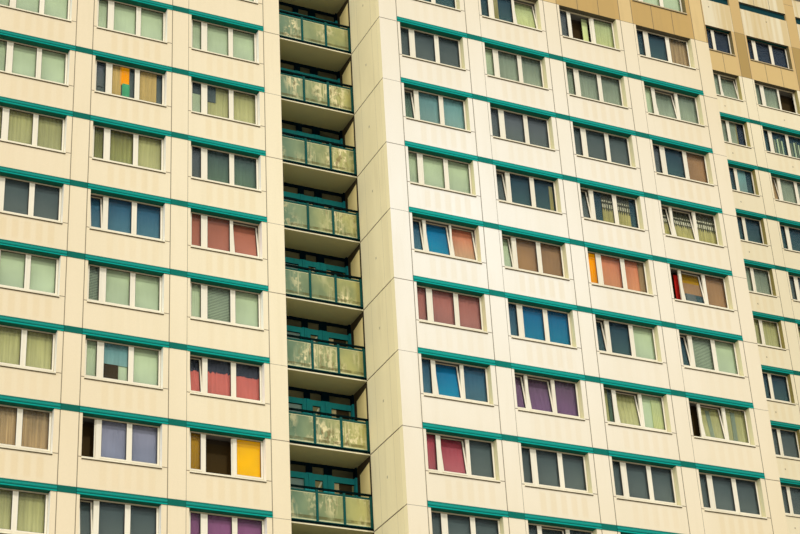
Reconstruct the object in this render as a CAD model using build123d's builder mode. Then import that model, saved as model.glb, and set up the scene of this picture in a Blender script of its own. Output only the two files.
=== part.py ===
from build123d import *
import os

os.makedirs("parts", exist_ok=True)

# Tall apartment block of storey-high concrete panels, as a model at half the real size.
# Two halves stand side by side: an 18-storey half with a loggia stack between its two
# blocks, and a 21-storey half set back behind its right end. +Z is up and the front
# faces -Y. The origin is on the ground under the middle of the plan.

# Driving dimensions: real millimetres times SCALE
SCALE = 0.5
STOREY = 2800 * SCALE
GROUND_SLAB = 300 * SCALE
GROUND_STOREY = 4300 * SCALE
FLOOR_THICKNESS = 160 * SCALE
WALL = 280 * SCALE
BAY = 3595 * SCALE
PANEL_WIDTH = 2975 * SCALE
CORNER_PIER = 735 * SCALE
LEAST_PIER = 550 * SCALE
CORE_STRIP = 43 * SCALE
WINDOW_WIDTH = 2660 * SCALE
WINDOW_HEIGHT = 1530 * SCALE
NARROW_STRIP = 115 * SCALE
BAND_HEIGHT = 225 * SCALE
BAND_PROUD = 16 * SCALE
GLASS = 40 * SCALE
JOINT = 20 * SCALE

# Heights in the blind storey above the highest windows, from its floor level
SLOT_FOOT = 1500 * SCALE
SLOT_HEIGHT = 460 * SCALE
PARAPET_TOP = 3110 * SCALE
SLOT_RECESS = 120 * SCALE
COPING_HEIGHT = 240 * SCALE
COPING_OVERHANG = 60 * SCALE

# Plan sizes
LEFT_WIDTH = 15150 * SCALE
LOGGIA_WIDTH = 3062 * SCALE
CENTRE_WIDTH = 15163 * SCALE
TALL_WIDTH = 18675 * SCALE
LEFT_SETBACK = 2410 * SCALE
CENTRE_DEPTH = 18000 * SCALE
TALL_SETBACK = 11160 * SCALE
TALL_DEPTH = 18000 * SCALE
LOWER_STOREYS = 17
TALL_STOREYS = 20

# Loggias
LOGGIA_SETBACK = 190 * SCALE
LOGGIA_DEPTH = 1305 * SCALE
LOGGIA_SLAB = 120 * SCALE
RAIL_INSET = 20 * SCALE
RAIL_SECTION = 50 * SCALE
RAILING_HEIGHT = 1200 * SCALE
RAIL_GAP = 60 * SCALE
RAIL_PANES = 3
INFILL = 16 * SCALE
SCREEN_FRAME = 70 * SCALE
SCREEN_TRANSOM = 2050 * SCALE
SCREEN_LIGHTS = (0.38, 0.26, 0.36)

# Entrance in the ground storey under the loggias
DOOR_WIDTH = 1900 * SCALE
DOOR_HEIGHT = 2500 * SCALE
DOOR_THICKNESS = 80 * SCALE

# Values that follow from the sizes above
WIDE_STRIP = PANEL_WIDTH - WINDOW_WIDTH - NARROW_STRIP
HEAD_DROP = FLOOR_THICKNESS + JOINT
SPANDREL_HEIGHT = STOREY - WINDOW_HEIGHT
LEFT_EDGE = -(LEFT_WIDTH + LOGGIA_WIDTH + CENTRE_WIDTH + TALL_WIDTH) / 2
LEFT_RIGHT = LEFT_EDGE + LEFT_WIDTH
CENTRE_LEFT = LEFT_RIGHT + LOGGIA_WIDTH
TALL_LEFT = CENTRE_LEFT + CENTRE_WIDTH
FRONT = -(TALL_SETBACK + TALL_DEPTH) / 2
LEFT_FRONT = FRONT + LEFT_SETBACK
LEFT_REAR = FRONT + CENTRE_DEPTH - LEFT_SETBACK
LOGGIA_FRONT = LEFT_FRONT + LOGGIA_SETBACK
SCREEN_Y = LOGGIA_FRONT + LOGGIA_DEPTH


class Block:
    """One rectangular block of the plan, which takes as many bays as its width has room for."""

    def __init__(self, name, left, right, front, rear, storeys):
        self.name = name
        self.left = left
        self.right = right
        self.front = front
        self.rear = rear
        self.storeys = storeys
        self.side_wall = WALL
        self.middle = (left + right) / 2
        self.panel_width = PANEL_WIDTH
        self.window_width = WINDOW_WIDTH
        spare_width = right - left - CORNER_PIER - LEAST_PIER - PANEL_WIDTH
        self.bays = int(spare_width / BAY) + 1
        self.row_length = (self.bays - 1) * BAY + PANEL_WIDTH
        self.panel_middle = left + CORNER_PIER + self.row_length / 2


LEFT_WING = Block("left_wing", LEFT_EDGE, LEFT_RIGHT, LEFT_FRONT, LEFT_REAR, LOWER_STOREYS)
CENTRE = Block("centre", CENTRE_LEFT, TALL_LEFT, FRONT, FRONT + CENTRE_DEPTH, LOWER_STOREYS)
TALL = Block("tall_block", TALL_LEFT, -LEFT_EDGE, FRONT + TALL_SETBACK, -FRONT, TALL_STOREYS)
TALL.panel_middle = TALL.right - CORNER_PIER - TALL.row_length / 2
CORE = Block("core", LEFT_RIGHT, CENTRE_LEFT, LEFT_FRONT, LEFT_REAR, LOWER_STOREYS)
CORE.side_wall = 0
CORE.panel_middle = CORE.middle
CORE.panel_width = LOGGIA_WIDTH - 2 * CORE_STRIP
CORE.window_width = CORE.panel_width - WIDE_STRIP - NARROW_STRIP
CORE.row_length = CORE.panel_width
FRONT_BLOCKS = [LEFT_WING, CENTRE, TALL]
ALL_BLOCKS = [LEFT_WING, CENTRE, TALL, CORE]


def floor_level(storey):
    """Top of the floor of a storey above the ground storey, which is storey 1."""
    return GROUND_SLAB + GROUND_STOREY + (storey - 2) * STOREY


def head_level(storey):
    """Head of the windows of a storey, which is also the foot of the panel above."""
    return floor_level(storey + 1) - HEAD_DROP


def slot_level(block):
    """Foot of the recessed slot in the blind storey."""
    return floor_level(block.storeys + 1) + SLOT_FOOT


def parapet_level(block):
    """Top of the parapet, under the coping."""
    return floor_level(block.storeys + 1) + PARAPET_TOP


def end_planes(block):
    """Planes from which the two end walls are extruded towards +X."""
    return Plane.YZ.offset(block.left), Plane.YZ.offset(block.right - WALL)


def faces(block):
    """The block's window walls: plane, inward extrusion and the shift of a window in its panel."""
    shift = (NARROW_STRIP - WIDE_STRIP) / 2
    rear_face = (Plane.XZ.offset(-block.rear), WALL, -shift)
    if block is CORE:
        return [rear_face]
    return [(Plane.XZ.offset(-block.front), -WALL, shift), rear_face]


def bay_rows(block, plane, shift, foot, height, width, rows):
    """Rows of like rectangles on a window wall, one in each bay and a storey apart."""
    with BuildSketch(plane) as rectangles:
        with Locations((block.panel_middle + shift, foot + height / 2 + (rows - 1) * STOREY / 2)):
            with GridLocations(BAY, STOREY, block.bays, rows):
                Rectangle(width, height)
    return rectangles.sketch


def storey_rows(plane, middle, foot, width, height, rows):
    """Long rectangles a storey apart, such as the edges of the floors."""
    with BuildSketch(plane) as rectangles:
        with Locations((middle, foot + height / 2 + (rows - 1) * STOREY / 2)):
            with GridLocations(1, STOREY, 1, rows):
                Rectangle(width, height)
    return rectangles.sketch


def pier_row(block, plane, shift, foot, top, gap):
    """Posts on a window wall, beside and between bays that leave the given gap."""
    middle = block.panel_middle + shift
    half_row = ((block.bays - 1) * BAY + gap) / 2
    left_width = middle - half_row - block.left
    right_width = block.right - middle - half_row
    height = (foot + top) / 2
    with BuildSketch(plane) as posts:
        with Locations((block.left + left_width / 2, height)):
            Rectangle(left_width, top - foot)
        with Locations((block.right - right_width / 2, height)):
            Rectangle(right_width, top - foot)
        if block.bays > 1:
            with Locations((middle, height)):
                with GridLocations(BAY, 1, block.bays - 1, 1):
                    Rectangle(BAY - gap, top - foot)
    return posts.sketch


def save(part, name):
    """Label a finished piece and write it."""
    part.label = name
    export_step(part, f"parts/{name}.step")


# Piers up to the crown, with the strips beside the windows
for block in ALL_BLOCKS:
    top = head_level(block.storeys - 1)
    with BuildPart() as piers:
        for plane, inward, shift in faces(block):
            extrude(pier_row(block, plane, shift, GROUND_SLAB, top, block.window_width),
                    amount=inward)
    save(piers.part, f"{block.name}_piers")

# Spandrel panels between the window rows, and the high ground storey wall under the first row
ground_wall = head_level(1) - WINDOW_HEIGHT - GROUND_SLAB
for block in ALL_BLOCKS:
    with BuildPart() as spandrels:
        for plane, inward, shift in faces(block):
            extrude(bay_rows(block, plane, shift, head_level(1), SPANDREL_HEIGHT,
                             block.window_width, block.storeys - 2), amount=inward)
            extrude(bay_rows(block, plane, shift, GROUND_SLAB, ground_wall, block.window_width, 1),
                    amount=inward)
    save(spandrels.part, f"{block.name}_spandrels")

# Coloured lintel bands, which run over the windows and the inner piers of each storey
for block in ALL_BLOCKS:
    with BuildPart() as bands:
        for plane, inward, shift in faces(block):
            extrude(storey_rows(plane, block.panel_middle, head_level(1), block.row_length,
                                BAND_HEIGHT, block.storeys - 2),
                    amount=-inward / WALL * BAND_PROUD)
    save(bands.part, f"{block.name}_lintel_bands")

# Window sheets, one for each storey of a wall, behind the openings and under the floor above
sheet_height = WINDOW_HEIGHT + 2 * JOINT
for block in ALL_BLOCKS:
    sheet_width = block.right - block.left - 2 * block.side_wall
    with BuildPart() as windows:
        for plane, inward, shift in faces(block):
            extrude(storey_rows(plane.offset(inward), block.middle,
                                floor_level(2) - FLOOR_THICKNESS - sheet_height, sheet_width,
                                sheet_height, block.storeys), amount=inward / WALL * GLASS)
    save(windows.part, f"{block.name}_windows")

# Ground slab under the whole block, and floors and roof slab between its walls
for block in ALL_BLOCKS:
    inner_width = block.right - block.left - 2 * block.side_wall
    floor_front = SCREEN_Y if block is CORE else block.front + WALL
    with BuildPart() as floors:
        with BuildSketch(Plane.XY):
            with Locations((block.middle, (block.front + block.rear) / 2)):
                Rectangle(block.right - block.left, block.rear - block.front)
        extrude(amount=GROUND_SLAB)
        extrude(storey_rows(Plane.XZ.offset(-floor_front), block.middle,
                            floor_level(2) - FLOOR_THICKNESS, inner_width, FLOOR_THICKNESS,
                            block.storeys), amount=floor_front - block.rear + WALL)
        roof_front = block.front + WALL
        extrude(storey_rows(Plane.XZ.offset(-roof_front), block.middle,
                            floor_level(block.storeys + 2) - FLOOR_THICKNESS, inner_width,
                            FLOOR_THICKNESS, 1), amount=roof_front - block.rear + WALL)
    save(floors.part, f"{block.name}_floors")

# End walls. The wall beside the loggias shows storey-high panels with an open joint between
# each and the next, and the other end walls are plain.
for block in FRONT_BLOCKS:
    depth = block.rear - block.front - 2 * WALL
    middle = (block.front + block.rear) / 2
    wall_height = head_level(block.storeys - 1) - GROUND_SLAB
    foot_height = head_level(1) - GROUND_SLAB
    left_plane, right_plane = end_planes(block)
    with BuildPart() as end_walls:
        extrude(storey_rows(right_plane, middle, GROUND_SLAB, depth, wall_height, 1), amount=WALL)
        if block is CENTRE:
            extrude(storey_rows(left_plane, middle, GROUND_SLAB, depth, foot_height, 1), amount=WALL)
            extrude(storey_rows(left_plane, middle, head_level(1) + JOINT, depth, STOREY - JOINT,
                                block.storeys - 2), amount=WALL)
        else:
            extrude(storey_rows(left_plane, middle, GROUND_SLAB, depth, wall_height, 1), amount=WALL)
    save(end_walls.part, f"{block.name}_end_walls")

# Crown: the walls of the highest window row and of the blind storey have their own colour
with BuildPart() as crown_piers:
    for block in ALL_BLOCKS:
        foot = head_level(block.storeys - 1)
        for plane, inward, shift in faces(block):
            extrude(pier_row(block, plane, shift, foot, foot + STOREY, block.window_width),
                    amount=inward)
save(crown_piers.part, "crown_piers")

with BuildPart() as crown_spandrels:
    for block in ALL_BLOCKS:
        foot = head_level(block.storeys - 1)
        for plane, inward, shift in faces(block):
            extrude(bay_rows(block, plane, shift, foot, SPANDREL_HEIGHT, block.window_width, 1),
                    amount=inward)
save(crown_spandrels.part, "crown_spandrels")

# The blind storey has an outer skin of piers and panels, as deep as its slot, on an inner wall
with BuildPart() as attic_piers:
    for block in ALL_BLOCKS:
        foot = head_level(block.storeys)
        for plane, inward, shift in faces(block):
            extrude(pier_row(block, plane, 0, foot, parapet_level(block), block.panel_width),
                    amount=inward / WALL * SLOT_RECESS)
save(attic_piers.part, "attic_piers")

with BuildPart() as attic_panels:
    for block in ALL_BLOCKS:
        foot = head_level(block.storeys)
        for plane, inward, shift in faces(block):
            extrude(bay_rows(block, plane, 0, foot, slot_level(block) - foot, block.panel_width, 1),
                    amount=inward / WALL * SLOT_RECESS)
save(attic_panels.part, "attic_panels")

with BuildPart() as parapet_panels:
    for block in ALL_BLOCKS:
        foot = slot_level(block) + SLOT_HEIGHT
        for plane, inward, shift in faces(block):
            extrude(bay_rows(block, plane, 0, foot, parapet_level(block) - foot, block.panel_width,
                             1), amount=inward / WALL * SLOT_RECESS)
save(parapet_panels.part, "parapet_panels")

with BuildPart() as attic_inner_walls:
    for block in ALL_BLOCKS:
        foot = head_level(block.storeys)
        for plane, inward, shift in faces(block):
            extrude(storey_rows(plane.offset(inward / WALL * SLOT_RECESS), block.middle, foot,
                                block.right - block.left, parapet_level(block) - foot, 1),
                    amount=inward / WALL * (WALL - SLOT_RECESS))
save(attic_inner_walls.part, "attic_inner_walls")

with BuildPart() as crown_end_walls:
    for block in FRONT_BLOCKS:
        depth = block.rear - block.front - 2 * WALL
        middle = (block.front + block.rear) / 2
        foot = head_level(block.storeys - 1) + JOINT
        attic_foot = head_level(block.storeys) + JOINT
        for plane in end_planes(block):
            extrude(storey_rows(plane, middle, foot, depth, STOREY - JOINT, 1), amount=WALL)
            extrude(storey_rows(plane, middle, attic_foot, depth, parapet_level(block) - attic_foot, 1),
                    amount=WALL)
save(crown_end_walls.part, "crown_end_walls")

# Copings lie on the parapets and stand out a little over the window walls
with BuildPart() as wall_copings:
    coping_depth = WALL + COPING_OVERHANG
    for block in ALL_BLOCKS:
        with BuildSketch(Plane.XY.offset(parapet_level(block))):
            with Locations((block.middle, block.front - COPING_OVERHANG + coping_depth / 2),
                           (block.middle, block.rear + COPING_OVERHANG - coping_depth / 2)):
                Rectangle(block.right - block.left, coping_depth)
        extrude(amount=COPING_HEIGHT)
save(wall_copings.part, "wall_copings")

with BuildPart() as end_copings:
    for block in FRONT_BLOCKS:
        depth = block.rear - block.front - 2 * WALL
        middle = (block.front + block.rear) / 2
        with BuildSketch(Plane.XY.offset(parapet_level(block))):
            with Locations((block.left + WALL / 2, middle), (block.right - WALL / 2, middle)):
                Rectangle(WALL, depth)
        extrude(amount=COPING_HEIGHT)
save(end_copings.part, "end_copings")

# Loggia slabs between the two blocks: a floor for each loggia, set back from the left wing's
# face, and a roof over the highest that reaches out under the wall of the blind storey
slab_foot = head_level(1)
roof_foot = head_level(LOWER_STOREYS)
loggia_count = LOWER_STOREYS - 1
with BuildPart() as loggia_slabs:
    extrude(storey_rows(Plane.XZ.offset(-LOGGIA_FRONT), CORE.middle, slab_foot, LOGGIA_WIDTH,
                        LOGGIA_SLAB, loggia_count), amount=-LOGGIA_DEPTH)
    extrude(storey_rows(Plane.XZ.offset(-LEFT_FRONT), CORE.middle, roof_foot, LOGGIA_WIDTH,
                        LOGGIA_SLAB, 1), amount=LEFT_FRONT - SCREEN_Y)
save(loggia_slabs.part, "loggia_slabs")

# Front wall of the blind storey over the highest loggia
with BuildPart() as loggia_attic_wall:
    foot = roof_foot + LOGGIA_SLAB
    extrude(storey_rows(Plane.XZ.offset(-LEFT_FRONT), CORE.middle, foot, LOGGIA_WIDTH,
                        parapet_level(CORE) - foot, 1), amount=-WALL)
save(loggia_attic_wall.part, "loggia_attic_wall")

# Railings: a frame of three panes and a handrail just over it, from wall to wall
slab_top = slab_foot + LOGGIA_SLAB
pane_width = (LOGGIA_WIDTH - (RAIL_PANES + 1) * RAIL_SECTION) / RAIL_PANES
frame_height = RAILING_HEIGHT - RAIL_SECTION - RAIL_GAP
pane_height = frame_height - 2 * RAIL_SECTION
railing_plane = Plane.XZ.offset(-LOGGIA_FRONT - RAIL_INSET)
row_middle = (loggia_count - 1) * STOREY / 2
with BuildPart() as loggia_railings:
    with BuildSketch(railing_plane):
        with Locations((CORE.middle, slab_top + frame_height / 2 + row_middle)):
            with GridLocations(1, STOREY, 1, loggia_count):
                Rectangle(LOGGIA_WIDTH, frame_height)
            with GridLocations(pane_width + RAIL_SECTION, STOREY, RAIL_PANES, loggia_count):
                Rectangle(pane_width, pane_height, mode=Mode.SUBTRACT)
    extrude(amount=-RAIL_SECTION)
    extrude(storey_rows(railing_plane, CORE.middle, slab_top + frame_height + RAIL_GAP,
                        LOGGIA_WIDTH, RAIL_SECTION, loggia_count), amount=-RAIL_SECTION)
save(loggia_railings.part, "loggia_railings")

# Sheets that fill the railings, against the inner face of their frames
with BuildPart() as loggia_infills:
    extrude(storey_rows(railing_plane.offset(-RAIL_SECTION), CORE.middle, slab_top, LOGGIA_WIDTH,
                        frame_height, loggia_count), amount=-INFILL)
save(loggia_infills.part, "loggia_infills")

# Back screens of the loggias: window, door and wide window, with lights over a transom
screen_height = STOREY - LOGGIA_SLAB
light_total = LOGGIA_WIDTH - (len(SCREEN_LIGHTS) + 1) * SCREEN_FRAME
light_height = SCREEN_TRANSOM - SCREEN_FRAME
top_light = screen_height - SCREEN_TRANSOM - 2 * SCREEN_FRAME
with BuildPart() as loggia_screens:
    with BuildSketch(Plane.XZ.offset(SCREEN_FRAME - SCREEN_Y)):
        with Locations((CORE.middle, slab_top + screen_height / 2 + row_middle)):
            with GridLocations(1, STOREY, 1, loggia_count):
                Rectangle(LOGGIA_WIDTH, screen_height)
        with Locations((CORE.middle, slab_top + screen_height - SCREEN_FRAME - top_light / 2
                        + row_middle)):
            with GridLocations(1, STOREY, 1, loggia_count):
                Rectangle(LOGGIA_WIDTH - 2 * SCREEN_FRAME, top_light, mode=Mode.SUBTRACT)
        light_left = CORE.left + SCREEN_FRAME
        for share in SCREEN_LIGHTS:
            light_width = share * light_total
            with Locations((light_left + light_width / 2,
                            slab_top + SCREEN_FRAME + light_height / 2 + row_middle)):
                with GridLocations(1, STOREY, 1, loggia_count):
                    Rectangle(light_width, light_height, mode=Mode.SUBTRACT)
            light_left += light_width + SCREEN_FRAME
    extrude(amount=-SCREEN_FRAME)
save(loggia_screens.part, "loggia_screens")

with BuildPart() as loggia_screen_glass:
    extrude(storey_rows(Plane.XZ.offset(-SCREEN_Y), CORE.middle, floor_level(2), LOGGIA_WIDTH,
                        STOREY - FLOOR_THICKNESS, loggia_count), amount=-GLASS)
save(loggia_screen_glass.part, "loggia_screen_glass")

# Entrance wall beside and over the doorway, under the lowest loggia, and the door in it
side_width = (LOGGIA_WIDTH - DOOR_WIDTH) / 2
with BuildPart() as entrance_side_walls:
    with BuildSketch(Plane.XY.offset(GROUND_SLAB)):
        with Locations((CORE.middle, SCREEN_Y - WALL / 2)):
            with GridLocations(DOOR_WIDTH + side_width, 1, 2, 1):
                Rectangle(side_width, WALL)
    extrude(amount=slab_foot - GROUND_SLAB)
save(entrance_side_walls.part, "entrance_side_walls")

with BuildPart() as entrance_lintel:
    with BuildSketch(Plane.XY.offset(GROUND_SLAB + DOOR_HEIGHT)):
        with Locations((CORE.middle, SCREEN_Y - WALL / 2)):
            Rectangle(DOOR_WIDTH, WALL)
    extrude(amount=slab_foot - GROUND_SLAB - DOOR_HEIGHT)
save(entrance_lintel.part, "entrance_lintel")

with BuildPart() as entrance_door:
    with BuildSketch(Plane.XY.offset(GROUND_SLAB)):
        with Locations((CORE.middle, SCREEN_Y - DOOR_THICKNESS / 2)):
            Rectangle(DOOR_WIDTH, DOOR_THICKNESS)
    extrude(amount=DOOR_HEIGHT)
save(entrance_door.part, "entrance_door")
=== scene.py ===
import math
import random

import bmesh
import bpy
from mathutils import Matrix, Vector


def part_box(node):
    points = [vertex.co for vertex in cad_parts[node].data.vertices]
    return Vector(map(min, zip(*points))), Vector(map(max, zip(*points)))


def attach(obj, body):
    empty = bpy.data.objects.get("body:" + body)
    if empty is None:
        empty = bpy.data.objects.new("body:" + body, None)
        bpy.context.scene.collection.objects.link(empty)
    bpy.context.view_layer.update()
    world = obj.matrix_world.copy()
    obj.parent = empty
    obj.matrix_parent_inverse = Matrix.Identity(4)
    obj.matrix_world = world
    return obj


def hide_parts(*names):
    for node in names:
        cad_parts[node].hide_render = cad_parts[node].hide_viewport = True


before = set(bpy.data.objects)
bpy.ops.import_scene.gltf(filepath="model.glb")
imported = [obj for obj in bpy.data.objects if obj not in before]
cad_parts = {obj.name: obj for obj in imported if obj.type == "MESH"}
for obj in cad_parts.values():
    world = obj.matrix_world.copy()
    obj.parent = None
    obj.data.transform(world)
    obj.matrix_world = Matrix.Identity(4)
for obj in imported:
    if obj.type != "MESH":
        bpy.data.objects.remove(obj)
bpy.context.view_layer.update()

# Viewpoint. The block is seen from the pavement in front of its left half, looking up at the
# storeys round the loggia stack through a long lens.
camera = bpy.data.objects.new("camera", bpy.data.cameras.new("camera"))
bpy.context.collection.objects.link(camera)
camera.location = (-16.409, -32.289, 0.745)
camera.rotation_euler = [math.radians(turn) for turn in (119.313, 2.954, -25.139)]
camera.data.sensor_width = 36.0
camera.data.lens = 83.17
camera.data.clip_end = 400.0
bpy.context.scene.camera = camera
bpy.context.scene.view_settings.view_transform = "Standard"

# Light. One lamp high in front of the building and a little to its right, a broad weak one at
# the left, and an even sky, so the walls that face left are a step darker than the window walls.
DAYLIGHT = (1.0, 0.98, 0.94)
for name, energy, spread, aim in (("front_lamp", 1.42, 2.5, (-0.07, 0.785, -0.616)),
                                  ("side_lamp", 1.0, 40, (0.9, 0.26, -0.33))):
    lamp = bpy.data.objects.new(name, bpy.data.lights.new(name, "SUN"))
    bpy.context.collection.objects.link(lamp)
    lamp.data.energy = energy
    lamp.data.angle = math.radians(spread)
    lamp.data.color = DAYLIGHT
    lamp.rotation_euler = Vector(aim).to_track_quat("-Z", "Y").to_euler()


def plug(socket, value):
    """Link a value to a socket, or set a plain number, vector or colour on it."""
    if isinstance(value, bpy.types.NodeSocket):
        socket.id_data.links.new(value, socket)
    elif isinstance(value, tuple) and len(value) < len(socket.default_value):
        socket.default_value = (*value, 1)
    else:
        socket.default_value = value


def feed(node, *values, **labelled):
    """Fill a node's inputs in their order, or by label with _ for a space."""
    for socket, value in zip(node.inputs, values):
        plug(socket, value)
    for label, value in labelled.items():
        plug(node.inputs[label.replace("_", " ")], value)
    return node


def add(tree, kind, *values, **labelled):
    """A new node in a tree, with its inputs filled."""
    return feed(tree.nodes.new(kind), *values, **labelled)


def home(*values):
    """The node tree in which the linked ones among some values stand."""
    return next(value.id_data for value in values if isinstance(value, bpy.types.NodeSocket))


def calc(operation, *values):
    """One math node; returns its result."""
    node = home(*values).nodes.new("ShaderNodeMath")
    node.operation = operation
    return feed(node, *values).outputs[0]


def most(first, *others):
    """The greatest of some values."""
    for other in others:
        first = calc("MAXIMUM", first, other)
    return first


sky = bpy.data.worlds.new("sky")
bpy.context.scene.world = sky
sky.use_nodes = True
tree = sky.node_tree
tree.nodes.clear()
rays = tree.nodes.new("ShaderNodeLightPath").outputs
seen = most(rays["Is Camera Ray"], rays["Is Glossy Ray"], rays["Is Transmission Ray"])
ambient = add(tree, "ShaderNodeBackground", Color=DAYLIGHT, Strength=0.55)
white = add(tree, "ShaderNodeBackground", Color=(1, 1, 1), Strength=1.0)
either = add(tree, "ShaderNodeMixShader", seen, ambient.outputs[0], white.outputs[0])
add(tree, "ShaderNodeOutputWorld", Surface=either.outputs[0])


# Floor. A plain pale sheet under the building, which isn't part of it.
def blank(name):
    """A new material and its surface."""
    material = bpy.data.materials.new(name)
    material.use_nodes = True
    return material, material.node_tree.nodes["Principled BSDF"]


mesh = bpy.data.meshes.new("floor")
mesh.from_pydata([(-150, -150, 0), (150, -150, 0), (150, 150, 0), (-150, 150, 0)], [],
                 [(0, 1, 2, 3)])
floor = bpy.data.objects.new("floor", mesh)
bpy.context.collection.objects.link(floor)
floor_paper, surface = blank("floor_paper")
feed(surface, Base_Color=(0.82, 0.81, 0.79), Roughness=0.9)
mesh.materials.append(floor_paper)


# Painted concrete of the window walls. Storey-high piers and spandrel panels are cast in the
# works and painted cream; rain leaves pale stripes and drips, and the joints between the
# panels are filled with grey putty.
def times(first, *others):
    """The product of some values."""
    for other in others:
        first = calc("MULTIPLY", first, other)
    return first


def minus(first, second):
    """The first value less the second."""
    return calc("SUBTRACT", first, second)


def over(value, level):
    """1 where a value is over a level."""
    return calc("GREATER_THAN", value, level)


def under(value, level):
    """1 where a value is under a level."""
    return calc("LESS_THAN", value, level)


def near(value, level, reach):
    """1 where a value is within reach of a level."""
    return calc("COMPARE", value, level, reach)


def wrap(value, length):
    """What is left of a value after whole lengths."""
    return calc("FLOORED_MODULO", value, length)


def ramp(value, low, high, kind="LINEAR"):
    """A value brought to 0..1 between two levels."""
    node = add(home(value), "ShaderNodeMapRange", value, low, high)
    node.interpolation_type = kind
    return node.outputs[0]


def axes(vector):
    """The parts of a vector, by axis."""
    return add(home(vector), "ShaderNodeSeparateXYZ", vector).outputs


def place_in(material):
    """Where each point of a piece lies, for a material."""
    return material.node_tree.nodes.new("ShaderNodeTexCoord").outputs["Object"]


def normal_at(socket):
    """The surface's normal, in the material of a socket."""
    return home(socket).nodes.new("ShaderNodeNewGeometry").outputs["Normal"]


def tint(factor, first, second, kind="MIX"):
    """One colour mix node; returns its colour."""
    node = home(factor, first, second).nodes.new("ShaderNodeMix")
    node.data_type = "RGBA"
    node.blend_type = kind
    for index, value in ((0, factor), (6, first), (7, second)):
        plug(node.inputs[index], value)
    return node.outputs[2]


def speckle(place, stretch, scale, detail, low, high):
    """Noise stretched along the axes and cut to 0..1 between two levels."""
    mapping = add(home(place), "ShaderNodeMapping", place, Scale=stretch)
    noise = add(home(place), "ShaderNodeTexNoise", mapping.outputs[0], Scale=scale,
                Detail=detail)
    return ramp(noise.outputs["Fac"], low, high)


def new_group(name, inputs, outputs, kind="ShaderNodeTree"):
    """An empty node group with named sockets: the group, its inputs and its result."""
    group = bpy.data.node_groups.new(name, kind)
    for label, sort, *value in inputs:
        socket = group.interface.new_socket(label, in_out="INPUT", socket_type="NodeSocket" + sort)
        if value:
            socket.default_value = value[0]
    for label, sort in outputs:
        group.interface.new_socket(label, in_out="OUTPUT", socket_type="NodeSocket" + sort)
    return group, group.nodes.new("NodeGroupInput").outputs, group.nodes.new("NodeGroupOutput")


weather, given, result = new_group(
    "weathered_paint",
    [("Place", "Vector"), ("Paint", "Color", (0.9, 0.8, 0.6, 1)),
     ("Grime", "Color", (0.5, 0.42, 0.25, 1)), ("Amount", "Float", 0.3)],
    [("Color", "Color"), ("Roughness", "Float"), ("Height", "Float")])
clouds = speckle(given["Place"], (1.7, 1.7, 0.45), 0.9, 5, 0.4, 0.85)
drips = speckle(given["Place"], (5, 5, 0.45), 1.6, 4, 0.5, 0.8)
grain = speckle(given["Place"], (1, 1, 1), 55.0, 3, 0.3, 0.7)
worn = tint(times(most(clouds, drips), given["Amount"]), given["Paint"], given["Grime"])
feed(result, Color=tint(times(grain, 0.06), worn, (0.35, 0.3, 0.2)),
     Roughness=calc("ADD", 0.72, times(grain, 0.15)),
     Height=calc("ADD", times(grain, 0.6), clouds))

STOREY = 1.4
BAY = 1.7975
PANEL = 1.4875
SPANDREL_HEAD = 0.641
HOLE = (0.8, 0.016)     # its place along a panel, and how far it reaches
panel_marks, given, result = new_group(
    "panel_marks",
    [("Place", "Vector"), ("Normal", "Vector"), ("First joint", "Float", 0.0),
     ("Row length", "Float", 5.0), ("Bay", "Float", BAY), ("Panel", "Float", PANEL),
     ("First head", "Float", 2.2), ("Storey", "Float", STOREY), ("Line", "Float", 0.008)],
    [("Joint", "Float"), ("Stripe", "Float"), ("Dot", "Float"), ("Under", "Float")])
at, facing = axes(given["Place"]), axes(given["Normal"])
bay, panel, line = given["Bay"], given["Panel"], given["Line"]
along = minus(at["X"], given["First joint"])
u = wrap(along, bay)
up = minus(at["Z"], given["First head"])
v = wrap(up, given["Storey"])
in_row = times(over(along, times(line, -1.5)),
               under(along, calc("MULTIPLY_ADD", line, 1.5, given["Row length"])))
past_row = minus(1.0, in_row)
upright = most(near(u, panel, line), near(calc("PINGPONG", along, bay), 0.0, line),
               near(u, 0.0, line))
sill_line = times(in_row, under(u, panel), near(v, SPANDREL_HEAD, line))
corner_line = most(times(past_row, near(calc("PINGPONG", up, STOREY), 0.0, line)),
                   times(past_row, near(v, 0.0, line)))
outside = over(calc("ABSOLUTE", facing["Y"]), 0.5)
which = add(panel_marks, "ShaderNodeCombineXYZ", calc("FLOOR", calc("DIVIDE", along, bay)),
            calc("FLOOR", calc("DIVIDE", up, given["Storey"])))
lot = add(panel_marks, "ShaderNodeTexWhiteNoise", which.outputs[0]).outputs["Value"]
wave = calc("SINE", calc("MULTIPLY_ADD", u, 31.0, times(lot, 2.0)))
stripe = times(ramp(wave, -0.6, 0.3), over(u, 0.3), under(u, 1.32),
               ramp(v, 0.12, 0.24, "SMOOTHSTEP"), ramp(v, 0.6, 0.5, "SMOOTHSTEP"))
feed(result, Joint=times(most(times(upright, in_row), sill_line, corner_line), outside),
     Stripe=times(stripe, in_row, outside, lot),
     Dot=times(near(u, *HOLE), near(v, 0.34, 0.02), outside),
     Under=under(facing["Z"], -0.5))


def use_group(tree, group, **values):
    """Place a node group in a material, its inputs filled by name; returns its outputs."""
    node = tree.nodes.new("ShaderNodeGroup")
    node.node_tree = group
    return feed(node, **values).outputs


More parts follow.
